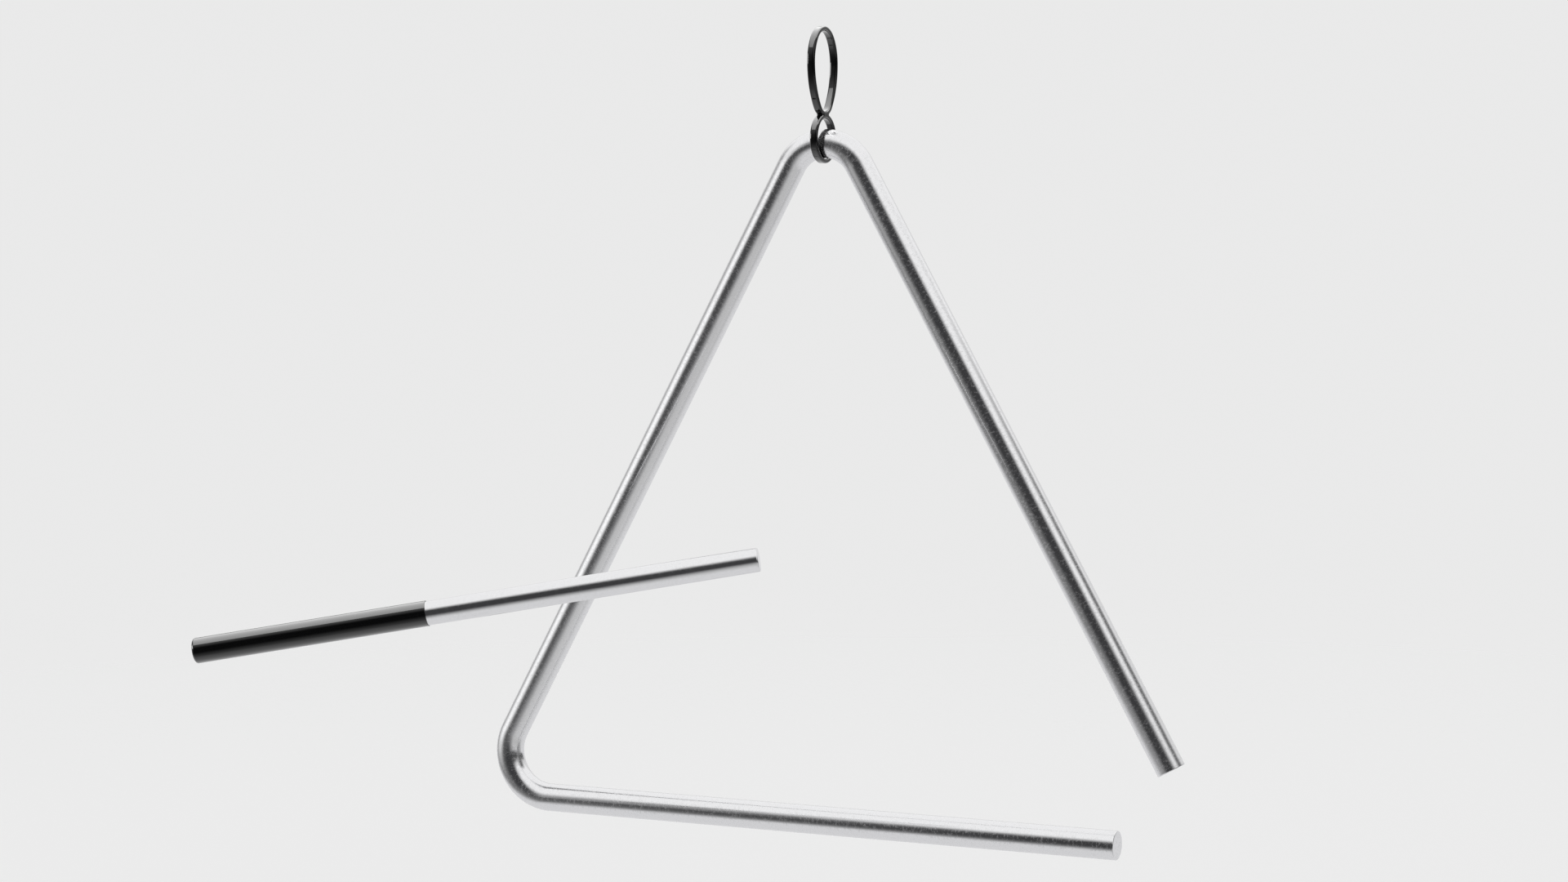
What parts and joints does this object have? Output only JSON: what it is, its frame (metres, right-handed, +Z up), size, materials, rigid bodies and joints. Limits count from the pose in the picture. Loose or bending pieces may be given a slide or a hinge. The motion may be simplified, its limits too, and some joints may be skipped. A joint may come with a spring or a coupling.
{
  "type": "triangle instrument",
  "caption": "Hand percussion triangle: a bent steel bar, open at one corner, hung in a moulded finger loop, with its straight beater held in front.",
  "frame": {"origin": "seat of the finger loop: the top of its hole, in the middle of the moulding's thickness", "axes": "+X along the bar where it hangs in its ring, towards the open corner's side; +Y away from the player's front view; +Z up"},
  "size_m": [0.2327, 0.13, 0.2248],
  "materials": {
    "hanger_plastic": "gloss black",
    "bar_steel": "satin, polished round the bar",
    "beater_steel": "satin",
    "grip_rubber": "smooth black sleeve"
  },
  "bodies": {
    "hanger": {"hanger": "hanger_plastic"},
    "triangle": {"triangle_bar": "bar_steel"},
    "beater": {"beater_rod": "beater_steel", "grip_sleeve": "grip_rubber"}
  },
  "joints": [
    {"name": "triangle_swing", "type": "hinge", "parent": "hanger", "child": "triangle", "pos_m": [0, 0, -0.0294], "axis": [1, 0, 0], "range_deg": [-20, 45]},
    {"name": "beater_stroke", "type": "hinge", "parent": "hanger", "child": "beater", "pos_m": [-0.12798, -0.11873, -0.16189], "axis": [0, 0, 1], "range_deg": [-60, 25]}
  ]
}
